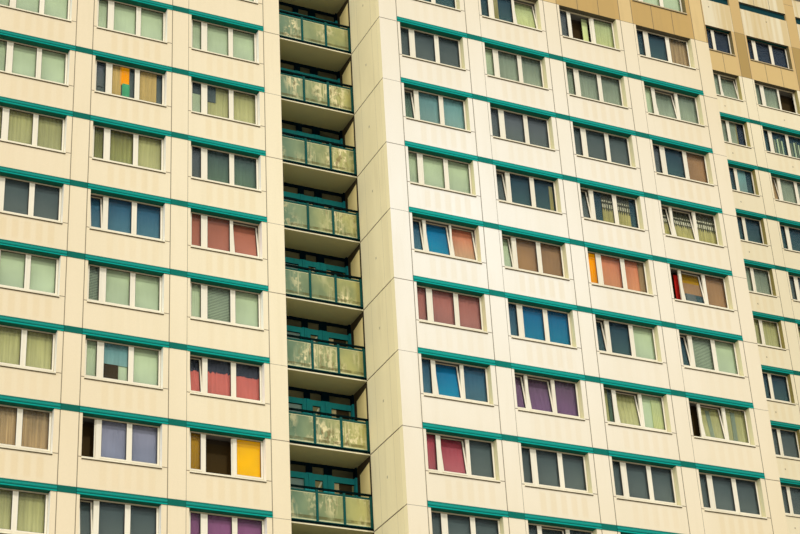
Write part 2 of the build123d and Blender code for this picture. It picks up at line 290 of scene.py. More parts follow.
def paint(name, color, grime, amount, roughness=None, bump=0.25, gloss=0.15):
    """A weathered paint: its material, its place and its worn colour."""
    material, surface = blank(name)
    tree = material.node_tree
    place = place_in(material)
    worn = use_group(tree, weather, Place=place, Paint=color, Grime=grime, Amount=amount)
    relief = add(tree, "ShaderNodeBump", Strength=bump, Distance=0.004, Height=worn["Height"])
    feed(surface, Base_Color=worn["Color"], Roughness=roughness or worn["Roughness"],
         Specular_IOR_Level=gloss, Normal=relief.outputs["Normal"])
    return material, place, worn["Color"]


def recolor(material, shade):
    """The same material with another colour on its surface."""
    feed(material.node_tree.nodes["Principled BSDF"], Base_Color=shade)
    return material


def dress(finish, *nodes):
    """Give nodes of the CAD model a finish in place of their own."""
    for node in nodes:
        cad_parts[node].data.materials.clear()
        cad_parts[node].data.materials.append(finish)


CREAMS = {"left_wing": ((0.945, 0.865, 0.62), (0.85, 0.72, 0.49)),
          "centre": ((0.965, 0.935, 0.84), (0.83, 0.7, 0.46)),
          "tall_block": ((0.87, 0.77, 0.53), (0.87, 0.77, 0.53)),
          "core": ((0.9, 0.8, 0.56), (0.88, 0.76, 0.52))}
PALEST = (-2.4, 0.0, 17.6)
PALE_SPOT_REACH = 8.0
# Colours of the window reveals that face left: painted light on the left wing, painted shade on the
# other blocks.
REVEAL_LIGHT_AND_SHADE = {"left_wing": (1.0, 0.98, 0.9), "centre": (0.8, 0.75, 0.46),
           "tall_block": (0.47, 0.41, 0.16), "core": (0.8, 0.75, 0.46)}
CREAM_GRIME = (0.66, 0.55, 0.3)
END_CREAM = (0.92, 0.82, 0.51)
LINE_GREY = (0.17, 0.13, 0.08)
blocks = {}
for name in ("left_wing", "centre", "tall_block", "core"):
    band_low, band_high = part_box(f"{name}_lintel_bands")
    pier_low, pier_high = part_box(f"{name}_piers")
    blocks[name] = {"joint": band_low[0], "row": band_high[0] - band_low[0], "head": band_low[2],
                    "bays": round((band_high[0] - band_low[0] - PANEL) / BAY) + 1,
                    "front": pier_low[1], "rear": pier_high[1],
                    "storeys": round((pier_high[2] - band_low[2]) / STOREY) + 2,
                    "left": pier_low[0], "right": pier_high[0]}


def in_storey(at, block):
    """Height over the window head below, by the levels of one block."""
    return wrap(minus(at["Z"], block["head"]), STOREY)


def paler_round_a_spot(place, pale, full):
    """Paint palest round a spot in the middle of the front and fuller towards its edges."""
    flat = add(home(place), "ShaderNodeVectorMath", place, (1, 0, 1))
    flat.operation = "MULTIPLY"
    reach = add(home(place), "ShaderNodeVectorMath", flat.outputs[0], PALEST)
    reach.operation = "DISTANCE"
    away = calc("MINIMUM", calc("DIVIDE", reach.outputs["Value"], PALE_SPOT_REACH), 1.0)
    return tint(away, pale, full)


def marks_on(place, normal, block):
    """Joints, stripes, holes and undersides of one block's panels."""
    return use_group(home(place), panel_marks, Place=place, Normal=normal,
                     First_joint=block["joint"], Row_length=block["row"],
                     First_head=block["head"])


def wall_paint(name, block):
    """Painted panels of one block's window walls, with their joints and stripes, painted shade on
    their soffits and painted light and shade on their reveals.
    """
    material, place, worn = paint(f"{name}_cream", CREAMS[name][0], CREAM_GRIME, 0.16)
    feed(worn.node, Paint=paler_round_a_spot(place, *CREAMS[name]))
    normal = normal_at(place)
    marks = marks_on(place, normal, block)
    shade = tint(marks["Stripe"], worn, (0.965, 0.935, 0.875), "MULTIPLY")
    # The undersides of the lintels are green paint darkened nearly to black, as painted shade.
    shade = tint(marks["Under"], shade, (0.004, 0.075, 0.045))
    shade = tint(times(marks["Joint"], 0.85), shade, LINE_GREY)
    if name == "tall_block":
        shade = tint(times(marks["Dot"], 0.6), shade, LINE_GREY)
    at, facing = axes(place), axes(normal)
    at_end = times(most(under(at["X"], block["left"] + 0.01), over(at["X"], block["right"] - 0.01)),
                   over(calc("ABSOLUTE", facing["X"]), 0.5))
    end = tint(times(under(in_storey(at, block), 0.02), 0.85), END_CREAM, LINE_GREY)
    # Faces that look left, the window reveals, carry painted light on the left wing and painted
    # shade on the other blocks.
    shade = tint(under(facing["X"], -0.5), shade, REVEAL_LIGHT_AND_SHADE[name])
    return recolor(material, tint(at_end, shade, end))


for name, block in blocks.items():
    dress(wall_paint(name, block), f"{name}_piers", f"{name}_spandrels")

# Lintel bands. A raised strip of green paint runs over the windows and inner piers of each
# storey; over each window it carries a pressed metal drip cap with a rib along its middle.
GREENS = ((0.0, 0.31, 0.26), (0.0, 0.175, 0.135))


def green_paint(name, grime, amount, bump):
    """Green gloss paint, palest round a spot in the middle of the front."""
    material, place, worn = paint(name, GREENS[0], grime, amount, bump=bump, gloss=0.03)
    feed(worn.node, Paint=paler_round_a_spot(place, *GREENS))
    return material, place, worn


def band_paint(name, block):
    """Green paint of one block's bands, darker on the piers between the windows."""
    material, place, worn = green_paint(f"{name}_green", (0.0, 0.12, 0.1), 0.35, 0.15)
    marks = marks_on(place, normal_at(place), block)
    u = wrap(minus(axes(place)["X"], block["joint"]), BAY)
    shade = tint(over(u, PANEL), worn, (0.74, 0.74, 0.7), "MULTIPLY")
    shade = tint(times(marks["Joint"], 0.7), shade, (0.0, 0.05, 0.04))
    # The undersides of the bands are painted darker green, as painted shade.
    return recolor(material, tint(marks["Under"], shade, (0.0, 0.12, 0.09)))


for name, block in blocks.items():
    dress(band_paint(name, block), f"{name}_lintel_bands")

walls = []
for name, block in blocks.items():
    middle = block["joint"] + (block["row"] if name == "core" else PANEL) / 2
    for side, turn in (("front", 0.0), ("rear", math.pi)):
        if (name, side) != ("core", "front"):
            spot = Matrix.Translation((middle, block[side], block["head"]))
            walls.append((name, side, block, spot @ Matrix.Rotation(turn, 4, "Z")))


def as_mesh(shape, name):
    """A plain mesh of the shape that was built, which is then let go."""
    mesh = bpy.data.meshes.new(name)
    shape.to_mesh(mesh)
    shape.free()
    return mesh


def bars(name, boxes, matrix=Matrix()):
    """One mesh of square-cut bars, given in real metres and halved to the model's scale."""
    shape = bmesh.new()
    for (x0, x1), (y0, y1), (z0, z1) in boxes:
        made = bmesh.ops.create_cube(shape, size=1.0)
        size = Matrix.Diagonal((x1 - x0, y1 - y0, z1 - z0, 1))
        move = Matrix.Translation(((x0 + x1) / 2, (y0 + y1) / 2, (z0 + z1) / 2))
        bmesh.ops.transform(shape, matrix=matrix @ Matrix.Scale(0.5, 4) @ move @ size,
                            verts=made["verts"])
    return as_mesh(shape, name)


def skin(name, rings, matrix=Matrix()):
    """A closed mesh through rings of points, given in real metres and halved."""
    shape = bmesh.new()
    rings = [[shape.verts.new(matrix @ (Vector(point) * 0.5)) for point in ring] for ring in rings]
    for left, right in zip(rings, rings[1:]):
        for i in range(len(left)):
            j = (i + 1) % len(left)
            shape.faces.new((left[i], right[i], right[j], left[j]))
    shape.faces.new(rings[0])
    shape.faces.new(list(reversed(rings[-1])))
    bmesh.ops.recalc_face_normals(shape, faces=shape.faces)
    return as_mesh(shape, name)


def prism(name, outline, x0, x1, matrix=Matrix()):
    """A closed bar along X with the given outline in Y and Z."""
    return skin(name, [[(x, y, z) for y, z in outline] for x in (x0, x1)], matrix)


def finished(tree, given, result, **spread):
    """End a geometry tree: copies at points, made real and given their finish."""
    copies = add(tree, "GeometryNodeInstanceOnPoints", **spread)
    real = add(tree, "GeometryNodeRealizeInstances", copies.outputs[0])
    coat = add(tree, "GeometryNodeSetMaterial", Geometry=real.outputs[0],
               Material=given["Finish"])
    feed(result, coat.outputs[0])


rows_tree, given, result = new_group(
    "rows_of_a_wall",
    [("Geometry", "Geometry"), ("Bays", "Int"), ("Bay width", "Float"), ("Storeys", "Int"),
     ("Storey height", "Float"), ("Finish", "Material")],
    [("Geometry", "Geometry")], "GeometryNodeTree")
lines = []
for count, step, axis in (("Bays", "Bay width", "X"), ("Storeys", "Storey height", "Z")):
    offset = add(rows_tree, "ShaderNodeCombineXYZ", **{axis: given[step]})
    lines.append(add(rows_tree, "GeometryNodeMeshLine", Count=given[count],
                     Offset=offset.outputs[0]).outputs[0])
crossed = add(rows_tree, "GeometryNodeInstanceOnPoints", Points=lines[0], Instance=lines[1])
grid = add(rows_tree, "GeometryNodeRealizeInstances", crossed.outputs[0])
finished(rows_tree, given, result, Points=grid.outputs[0], Instance=given["Geometry"])


def grow(tree, mesh, inputs):
    """Run a geometry tree on a mesh and keep what it makes as a plain mesh."""
    grower = bpy.data.objects.new(mesh.name, mesh)
    bpy.context.collection.objects.link(grower)
    modifier = grower.modifiers.new("grow", "NODES")
    modifier.node_group = tree
    named = {item.name: item.identifier for item in tree.interface.items_tree
             if item.item_type == "SOCKET" and item.in_out == "INPUT"}
    for label, value in inputs.items():
        modifier[named[label]] = value
    evaluated = grower.evaluated_get(bpy.context.evaluated_depsgraph_get())
    grown = bpy.data.meshes.new_from_object(evaluated)
    bpy.data.objects.remove(grower)
    return grown


def join(name, meshes, finish, replaces=()):
    """One piece from several meshes of the same finish, riding on the building."""
    shape = bmesh.new()
    for mesh in meshes:
        shape.from_mesh(mesh)
    whole = as_mesh(shape, name)
    whole.materials.append(finish)
    for face in whole.polygons:
        face.material_index = 0
    piece = bpy.data.objects.new(name, whole)
    bpy.context.collection.objects.link(piece)
    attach(piece, "root")
    if replaces:
        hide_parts(*replaces)


def on_wall(mesh, block, finish, storeys=None):
    """A wall's worth of one piece, from the piece at the wall's first bay and lowest storey."""
    return grow(rows_tree, mesh, {"Bays": block["bays"], "Bay width": BAY, "Finish": finish,
                                  "Storeys": storeys or block["storeys"], "Storey height": STOREY})


cap_green, place, worn = green_paint("cap_green", (0.0, 0.16, 0.13), 0.3, 0.1)
cap_outline = [(0.0, 0.225), (-0.022, 0.215), (-0.03, 0.07), (-0.022, 0.06), (-0.03, 0.05),
               (-0.036, 0.012), (-0.03, 0.0), (0.0, 0.0)]
CAP_GAP = 0.004
# Painted light and shade on the drip caps: painted shadow along the rib and along the top edge
# against the wall, a painted highlight stripe on the upper face and a painted highlight along the
# foot.
up = in_storey(axes(place), blocks["centre"])
rib = most(near(up, 0.03, 0.007), over(up, 0.102))
shade = tint(times(near(up, 0.068, 0.012), 0.3), worn, (0.02, 0.52, 0.44))
shade = tint(times(rib, 0.75), shade, (0.0, 0.09, 0.07))
recolor(cap_green, tint(times(under(up, 0.023), 0.5), shade, (0.0, 0.46, 0.38)))
caps = []
for name, side, block, matrix in walls:
    reach = (PANEL if name != "core" else block["row"]) - CAP_GAP
    caps.append(on_wall(prism(f"cap_{name}_{side}", cap_outline, -reach, reach, matrix), block,
                        cap_green, block["storeys"] - 2))
join("lintel_drip_caps", caps, cap_green)

# Windows. Each opening has a cream wooden frame with a narrow light and two wide ones, set a
# hand's breadth behind the wall face, and a thick sill board that throws the rain clear of it.
OPENING = (-1.3725, 1.2875)
LIGHTS = {"a": (-1.2525, -0.905), "b": (-0.6725, 0.1675), "c": (0.3475, 1.2075)}
GLASS_FOOT, GLASS_HEAD = -1.335, -0.05
STILE = 0.055
FRAME_DEPTH = (0.235, 0.3)


def over_levels(place):
    """Mask of the crown's window row, and the height over the last lintel level."""
    at = axes(place)
    tops = [block["head"] + (block["storeys"] - 1) * STOREY for block in
            (blocks["centre"], blocks["tall_block"])]
    at_left = under(at["X"], blocks["tall_block"]["left"])
    row_foot = calc("MULTIPLY_ADD", at_left, tops[0] - tops[1], tops[1] - 0.85)
    return over(at["Z"], row_foot), wrap(minus(at["Z"], tops[0]), STOREY)


def faces_down(place, level=-0.5):
    """1 where the surface faces down."""
    return under(axes(normal_at(place))["Z"], level)


frame_paint, place, worn = paint("frame_cream", (0.92, 0.86, 0.69), (0.5, 0.42, 0.28), 0.25,
                                 bump=0.1)
crown_row, up = over_levels(place)
in_shade = over(up, STOREY - 0.032)
worn = tint(in_shade, worn, (0.5, 0.45, 0.36), "MULTIPLY")
recolor(frame_paint, tint(times(crown_row, in_shade), worn, (0.07, 0.055, 0.03)))
sill_paint, place, worn = paint("sill_cream", (0.92, 0.84, 0.62), (0.4, 0.33, 0.2), 0.4, bump=0.1)
worn = tint(times(over_levels(place)[0], 0.75), worn, (0.4, 0.28, 0.12))
# The faces of the sill's lip that look down are painted dark brown, as painted shade.
recolor(sill_paint, tint(faces_down(place, -0.3), worn, (0.1, 0.075, 0.03)))
stops = [OPENING[0]]
for low, high in LIGHTS.values():
    stops += [low - STILE, high + STILE]
stops.append(OPENING[1])
frame_bars = [((stops[1], stops[6]), FRAME_DEPTH, heights) for heights in
              ((-0.018, 0.0), (-1.42, -1.39))]
for i, heights in enumerate(((-1.42, 0.0), (-1.39, -0.02), (-1.39, -0.02), (-1.42, 0.0))):
    frame_bars.append(((stops[2 * i], stops[2 * i + 1]), FRAME_DEPTH, heights))
sill_outline = [(0.29, -1.4), (-0.04, -1.527), (-0.04, -1.578), (-0.03, -1.602),
                (-0.004, -1.602), (-0.004, -1.529), (0.29, -1.529)]
frames, sills = [], []
for name, side, block, matrix in walls:
    frames.append(on_wall(bars(f"frame_{name}_{side}", frame_bars, matrix), block, frame_paint))
    sills.append(on_wall(prism(f"sill_{name}_{side}", sill_outline, *OPENING, matrix), block,
                         sill_paint))
join("window_frames", frames, frame_paint,
     [f"{name}_windows" for name in blocks])
join("window_sills", sills, sill_paint)

STATED = ("turn", "lean", "width", "height")
places_tree, given, result = new_group(
    "pieces_at_places",
    [("Geometry", "Geometry"), ("Pattern", "Object"), ("Finish", "Material")],
    [("Geometry", "Geometry")], "GeometryNodeTree")
pattern = add(places_tree, "GeometryNodeObjectInfo", Object=given["Pattern"])
own = {label: add(places_tree, "GeometryNodeInputNamedAttribute", Name=label).outputs["Attribute"]
       for label in STATED}
spin = add(places_tree, "ShaderNodeCombineXYZ", X=own["lean"], Z=own["turn"])
stretch = add(places_tree, "ShaderNodeCombineXYZ", own["width"], 1.0, own["height"])
finished(places_tree, given, result, Points=given["Geometry"], Instance=pattern.outputs["Geometry"],
         Rotation=spin.outputs[0], Scale=stretch.outputs[0])


def put(name, mesh, places, finish):
    """Copies of a mesh at places that each give a matrix, a width and a height to stretch to."""
    pattern = bpy.data.objects.new(f"{name}_pattern", mesh)
    bpy.context.collection.objects.link(pattern)
    spots = bpy.data.meshes.new(name)
    spots.from_pydata([matrix.to_translation() for matrix, wide, tall in places], [], [])
    rows = [(matrix.to_euler().z, matrix.to_euler().x, wide, tall)
            for matrix, wide, tall in places]
    for label, values in zip(STATED, zip(*rows)):
        spots.attributes.new(label, "FLOAT", "POINT").data.foreach_set("value", values)
    grown = grow(places_tree, spots, {"Pattern": pattern, "Finish": finish})
    bpy.data.objects.remove(pattern)
    return grown


def address(name, side, storey, bay, light, share=0.5):
    """A place at the head of one light of a window, at a share of the light's width."""
    wall = next(matrix for *which, block, matrix in walls if which == [name, side])
    left, right = LIGHTS[light]
    across = BAY * (bay - 1) * (1 if side == "front" else -1)
    along = (left + (right - left) * share) / 2 + across
    return wall @ Matrix.Translation((along, 0, (storey - 1) * STOREY))


def windows_in(text):
    """The lights named in a list such as 'centre 12.1c', as block, storey, bay and light."""
    for word in text.split():
        if word[0].isalpha():
            name = word
        else:
            storey, rest = word.split(".")
            for light in rest[1:]:
                yield name, int(storey), int(rest[0]), light


# Sashes and panes. Each light has its own sash of slim bars with a sheet of clear glass. Some
# are tilted into the room about their foot to let air in, and a few are swung wide open about
# one side.
AJAR = {
    "tilted": "left_wing 12.3a 12.4c 10.4a 8.3a centre 16.2c 15.4b 14.1a 13.2a 13.3a 13.4ab "
              "12.1abc 12.2a 12.4b 11.3a 11.4a 10.1b 10.2ab 10.3b 10.4b 9.1b 8.2b "
              "tall_block 19.3c 17.4a",
    "open": "left_wing 9.3a 9.4b centre 16.3b tall_block 19.4c",
    "left_hung": "centre 12.4a 10.4a"}
SASH_DEPTH, SEAL_DEPTH, PANE_DEPTH = (0.222, 0.272), (0.238, 0.25), (0.25, 0.258)
HINGE_LINE = 0.136
SEEN_FROM = 8           # the lowest storey in the photo
rng = random.Random(7)


def swung(hinge, angle, axis):
    """A turn about a hinge."""
    return (Matrix.Translation(hinge) @ Matrix.Rotation(math.radians(angle), 4, axis)
            @ Matrix.Translation(-Vector(hinge)))


lean = swung((0, HINGE_LINE, GLASS_FOOT / 2), -8, "X")
clear, surface = blank("clear_glass")
ripple = speckle(place_in(clear), (1, 1, 1), 1.3, 2, 0.35, 0.65)
feed(surface, Base_Color=(0.03, 0.05, 0.06), Roughness=0.04, IOR=1.6,
     Alpha=calc("MULTIPLY_ADD", ripple, 0.07, 0.05))
rubber, surface = blank("seal_rubber")
dust = speckle(place_in(rubber), (1, 1, 1), 30.0, 2, 0.4, 0.7)
feed(surface, Base_Color=tint(dust, (0.02, 0.018, 0.014), (0.06, 0.05, 0.035)),
     Roughness=0.8, Specular_IOR_Level=0.15)
stance = {}
ajar = {key: how for how, windows in AJAR.items() for key in windows_in(windows)}
for name, side, block, matrix in walls:
    for storey in range(1, block["storeys"] + 1):
        for bay in range(1, block["bays"] + 1):
            for light in LIGHTS:
                how = ajar.get((name, storey, bay, light), "shut")
                if side == "rear" or storey < SEEN_FROM:
                    how = rng.choice(("shut",) * 6 + ("tilted",))
                stance[name, side, storey, bay, light] = how
sash_meshes, pane_meshes, seal_meshes = [], [], []
for light, (left, right) in LIGHTS.items():
    half = (right - left) / 2
    edge = half + STILE
    tall = (GLASS_FOOT, GLASS_HEAD)
    ring = [(across, SASH_DEPTH, heights) for across, heights in (
        ((-edge, edge), (GLASS_HEAD, GLASS_HEAD + 0.03)),
        ((-edge, edge), (GLASS_FOOT - STILE, GLASS_FOOT)),
        ((-edge, -half), tall), ((half, edge), tall))]
    between = (GLASS_FOOT + 0.01, GLASS_HEAD - 0.014)
    # Dark rubber seals, wider at the right side and the head of each pane, where they also stand in
    # as painted shade lines.
    seal = [(across, SEAL_DEPTH, heights) for across, heights in (
        ((-half, half), (between[1], GLASS_HEAD)), ((-half, half), (GLASS_FOOT, between[0])),
        ((-half, -half + 0.012), between), ((half - 0.018, half), between))]
    for how, matrix in (("shut", Matrix()), ("tilted", lean),
                        ("open", swung((edge / 2, HINGE_LINE, 0), -106, "Z")),
                        ("left_hung", swung((-edge / 2, HINGE_LINE, 0), 88, "Z"))):
        places = [(address(*key), 1.0, 1.0) for key, found in stance.items()
                  if found == how and key[4] == light]
        for meshes, label, boxes, finish in (
                (sash_meshes, "sash", ring, frame_paint),
                (pane_meshes, "pane", [((-half, half), PANE_DEPTH, tall)], clear),
                (seal_meshes, "seal", seal, rubber)):
            if places:
                meshes.append(put(f"{label}_{light}_{how}", bars(label, boxes, matrix), places,
                                  finish))
join("window_sashes", sash_meshes, frame_paint)
join("glazing_seals", seal_meshes, rubber)
join("window_panes", pane_meshes, clear)

# Curtains and blinds. Behind the glass of every light stands a stiff screen that shows the cloth or
# blind drawn across it, hung in even folds, or a dark sheet painted as the shade of the room.
hung_cloth, given, result = new_group(
    "hung_cloth",
    [("Place", "Vector"), ("Cloth", "Color", (0.5, 0.5, 0.5, 1)),
     ("Foot", "Color", (0.5, 0.5, 0.5, 1)), ("Folds", "Float", 1.0), ("Drop", "Float", 0.0),
     ("Slats", "Float", 0.0), ("Net", "Float", 0.0)],
    [("Color", "Color")])
at = axes(given["Place"])
down = calc("DIVIDE", minus(STOREY, in_storey(at, blocks["centre"])), 0.72)
shades = speckle(given["Place"], (24, 24, 0.7), 1.0, 2, 0.3, 0.7)
broad = speckle(given["Place"], (1.4, 1.4, 1.8), 1.0, 3, 0.3, 0.7)
cloth = tint(down, given["Cloth"], given["Foot"])
cloth = tint(times(broad, 0.12), cloth, (0.03, 0.04, 0.03))
# Painted shade in the creases of the folds.
cloth = tint(times(shades, given["Folds"], 0.45), cloth, (0.03, 0.03, 0.02))
slat = under(calc("FRACT", times(down, 24.0)), 0.4)
cloth = tint(times(slat, given["Slats"]), cloth, (0.04, 0.05, 0.04))
scallop = times(calc("PINGPONG", at["X"], 0.025), 40.0)
net = under(down, calc("MULTIPLY_ADD", scallop, -0.11, 0.58))
cloth = tint(times(net, given["Net"]), cloth, (0.05, 0.055, 0.04))
loops = times(most(near(down, 0.25, 0.022), near(down, 0.4, 0.055)), over(scallop, 0.42))
cloth = tint(times(loops, given["Net"]), cloth, (0.8, 0.78, 0.52))
# Above the drop the screen is painted dark, as the shade of the room.
hem = calc("MULTIPLY_ADD", shades, 0.08, given["Drop"])
cloth = tint(times(under(down, hem), over(given["Drop"], 0.01)), cloth, (0.05, 0.055, 0.07))
# Painted shade along the head of every screen, under the lintel.
feed(result, Color=tint(times(ramp(down, 0.14, 0.1), 0.5), cloth, (0.015, 0.012, 0.01)))

# Each cloth: its colour at the head and at the foot, its folds, and the windows in which it
# hangs, by block, storey, bay and light.
CLOTHS = {
    # Painted shade: a dark sheet standing for the shade of the room, lighter towards the foot.
    "dark_room": ((0.074, 0.11, 0.11), (0.17, 0.21, 0.18), 0.0,
                  "left_wing 14.4a 14.3abc 12.2abc 8.3abc 8.2a centre 15.1abc 14.3abc 13.3a "
                  "13.2a 9.1c 9.2abc 9.3abc 9.4abc 8.1abc 8.2abc 8.3abc 8.4abc "
                  "tall_block 15.4abc 12.3abc 11.3abc"),
    "slate": ((0.12, 0.14, 0.16), (0.17, 0.21, 0.18), 0.0,
              "left_wing 13.4a centre 14.2abc 16.3a 14.4a"),
    "dark_blue": ((0.018, 0.06, 0.095), (0.074, 0.15, 0.14), 0.0,
                  "centre 16.1abc 16.2ab 16.4ab 14.4b 13.2bc 13.3bc 12.4b 11.3ab 11.4a "
                  "tall_block 18.4abc 17.3bc 16.3abc 16.4abc 13.3abc"),
    "night_blue": ((0.018, 0.03, 0.05), (0.035, 0.055, 0.085), 0.0,
                   "tall_block 20.3abc 20.4abc 18.3c"),
    "blue_grey": ((0.017, 0.1, 0.19), (0.11, 0.26, 0.31), 0.1,
                  "left_wing 12.3abc centre 12.1a 11.2a 10.1ac"),
    "bright_blue": ((0.000, 0.18, 0.42), (0.017, 0.33, 0.49), 0.1, "centre 12.1b 11.2bc 10.1b"),
    "pale_green": ((0.66, 0.81, 0.45), (0.66, 0.81, 0.53), 0.08,
                   "left_wing 15.2abc 15.3abc 15.4abc 14.2abc 11.2abc 11.3bc 11.4ac 10.3abc "
                   "centre 15.2a 15.4a 13.1abc 12.2a 11.3c 11.4c 10.3c"),
    "grey_green": ((0.28, 0.36, 0.25), (0.47, 0.56, 0.37), 0.45,
                   "centre 15.2bc 15.3abc 15.4bc "
                   "tall_block 19.3abc 19.4ab 18.3ab 17.3a 17.4bc 15.3abc"),
    "sea_green": ((0.18, 0.43, 0.42), (0.33, 0.52, 0.44), 0.25, "centre 14.1bc"),
    "slatted": ((0.42, 0.53, 0.34), (0.42, 0.53, 0.34), 0.1,
                "left_wing 11.4b 11.3a centre 11.4b"),
    "lime": ((0.69, 0.81, 0.39), (0.83, 0.89, 0.36), 0.4, "centre 16.2c 16.3c"),
    "olive": ((0.55, 0.54, 0.2), (0.72, 0.72, 0.33), 0.6,
              "left_wing 14.4bc 13.2abc 13.3c 10.2abc 8.2bc centre 10.3ab 10.4bc "
              "tall_block 14.3abc"),
    "olive_green": ((0.3, 0.28, 0.073), (0.51, 0.54, 0.19), 0.8, "left_wing 13.3ab"),
    "lace": ((0.66, 0.62, 0.26), (0.68, 0.62, 0.2), 0.9, "centre 13.4abc"),
    "voile": ((0.66, 0.63, 0.34), (0.68, 0.62, 0.22), 0.8, ""),
    "straw": ((0.86, 0.6, 0.19), (0.9, 0.66, 0.22), 0.5, ""),
    "mint": ((0.1, 0.6, 0.26), (0.12, 0.62, 0.28), 0.4, ""),
    "apricot": ((0.98, 0.26, 0.12), (0.92, 0.62, 0.34), 0.3, "centre 12.1c"),
    "tan": ((0.42, 0.24, 0.11), (0.51, 0.3, 0.13), 0.1, "centre 14.4c 12.2bc 12.4c"),
    "brown": ((0.6, 0.43, 0.2), (0.8, 0.55, 0.26), 1.1,
              "left_wing 9.2abc centre 16.4c tall_block 17.4a"),
    "salmon": ((0.95, 0.31, 0.14), (0.95, 0.43, 0.2), 0.3, "centre 12.3bc"),
    "brick_red": ((0.5, 0.16, 0.084), (0.6, 0.23, 0.15), 0.0, "left_wing 12.4abc"),
    "coral_red": ((0.91, 0.21, 0.16), (0.91, 0.25, 0.19), 0.45, "left_wing 10.4abc"),
    "crimson": ((0.55, 0.056, 0.087), (0.62, 0.18, 0.19), 0.2, "centre 9.1ab"),
    "dusty_pink": ((0.57, 0.19, 0.14), (0.54, 0.25, 0.2), 0.25, "centre 11.1abc"),
    "purple": ((0.21, 0.12, 0.18), (0.28, 0.15, 0.29), 0.4, "centre 10.2abc"),
    "plum": ((0.36, 0.13, 0.28), (0.36, 0.13, 0.28), 0.2, "left_wing 8.4abc"),
    "lavender": ((0.39, 0.39, 0.49), (0.33, 0.37, 0.49), 0.2, "left_wing 9.3bc"),
    "yellow": ((0.98, 0.52, 0.0), (0.98, 0.55, 0.0), 0.0, "left_wing 9.4c"),
    "ochre": ((0.54, 0.29, 0.009), (0.54, 0.29, 0.009), 0.1, "left_wing 9.4a"),
    "orange": ((0.98, 0.3, 0.0), (0.98, 0.34, 0.0), 0.15, "centre 12.3a"),
    "red": ((0.74, 0.02, 0.01), (0.74, 0.029, 0.02), 0.3, ""),
    "dark_green": ((0.088, 0.15, 0.14), (0.21, 0.33, 0.2), 0.5, "left_wing 13.4bc centre 14.1a"),
    # Painted shade: a dark brown sheet standing for the room behind an open sash.
    "open_room": ((0.03, 0.018, 0.005), (0.065, 0.038, 0.008), 0.0,
                  "left_wing 9.3a 9.4b centre 16.3b 12.4a 10.4a tall_block 19.4c"),
}
# What only some have: a bare drop at the head, painted dark as the shade of the room above the
# cloth, slats, or the holes of a net.
SPECIAL = {"coral_red": {"Drop": 0.3}, "slatted": {"Slats": 0.75}, "lace": {"Net": 0.9}}
# Cloths that cover part of a light, in front of its screen: cloth, window, then the shares of
# its width and height from and to which they reach.
HALF_DRAWN = {
    "left_wing": "straw 14.3b 0 0.42 0 1, orange 14.3b 0.38 0.78 0 0.55, "
                 "mint 14.3b 0.48 0.8 0.52 1, straw 14.3c 0 0.76 0 1, "
                 "slate 14.3a 0.1 0.75 0.1 0.75, pale_green 14.4a 0 1 0.35 1, "
                 "dark_room 14.4b 0 0.42 0 0.5, sea_green 10.3b 0 1 0 0.55, "
                 "open_room 10.3b 0.05 0.62 0.55 1, voile 8.2a 0 0.5 0 1",
    "centre": "voile 16.2b 0.05 0.28 0 1, lime 16.3b 0.7 1 0 1, voile 13.2c 0.78 0.94 0.15 1, "
              "lace 13.3b 0.45 1 0 1, lace 13.3c 0 0.68 0 1, brown 12.3c 0.72 1 0 1, "
              "ochre 12.4b 0 1 0 0.32, tan 12.4b 0 1 0.32 0.68, slate 12.4b 0.1 0.62 0.68 1, "
              "red 12.4a 0.95 1.55 0.1 1, lime 10.3c 0.5 1 0.1 1, dark_green 10.3a 0.6 1 0 1, "
              "grey_green 10.4bc 0.32 0.52 0.1 1, lime 8.1c 0.3 0.7 0.7 1, "
              "lime 8.2b 0.1 0.6 0.3 1",
    "tall_block": "grey_green 18.3c 0 0.47 0 1, voile 18.3c 0.47 0.55 0 1, "
                  "grey_green 18.4bc 0.12 0.26 0.3 1, pale_green 18.4bc 0.38 0.48 0.25 1, "
                  "grey_green 18.4bc 0.55 0.62 0.2 1, pale_green 18.4bc 0.7 0.78 0.3 1, "
                  "sea_green 17.3c 0 0.62 0 1"}
FOLDS = 12
CLOTH_HEAD, CLOTH_HEIGHT = -0.02, 1.39
# How far behind the wall face a screen stands in a light, and how much wider it is; then the
# same distance for a cloth that covers part of a light.
STANDS = {"shut": (0.335, 0.13), "tilted": (0.29, 0.07), "open": (0.34, -0.02),
          "left_hung": (0.34, -0.02)}
BARE_STANDS = (0.64, 0.6)
PART_STANDS = {"shut": 0.3, "tilted": 0.272, "open": 0.46, "left_hung": 0.46}


def hung_board(name, folds):
    """A stiff sheet, one real metre wide and high, pressed into upright folds of a depth."""
    rings = []
    for index in range(FOLDS + 1):
        x, y = index / FOLDS - 0.5, (0.0004 + 0.014 * folds) * (1 if index % 2 else -1)
        rings.append([(x, y, -1.0), (x, y, 0.0), (x, y + 0.03, 0.0), (x, y + 0.03, -1.0)])
    return skin(name, rings)


def behind(name, side, storey, bay, light, how, share, depth, drop=CLOTH_HEAD):
    """A place behind a light's glass, leaning back with the sash where that is tilted."""
    inside = Matrix.Translation((0, depth / 2, drop / 2))
    if how == "tilted":
        inside = lean @ inside
    return address(name, side, storey, bay, light, share) @ inside


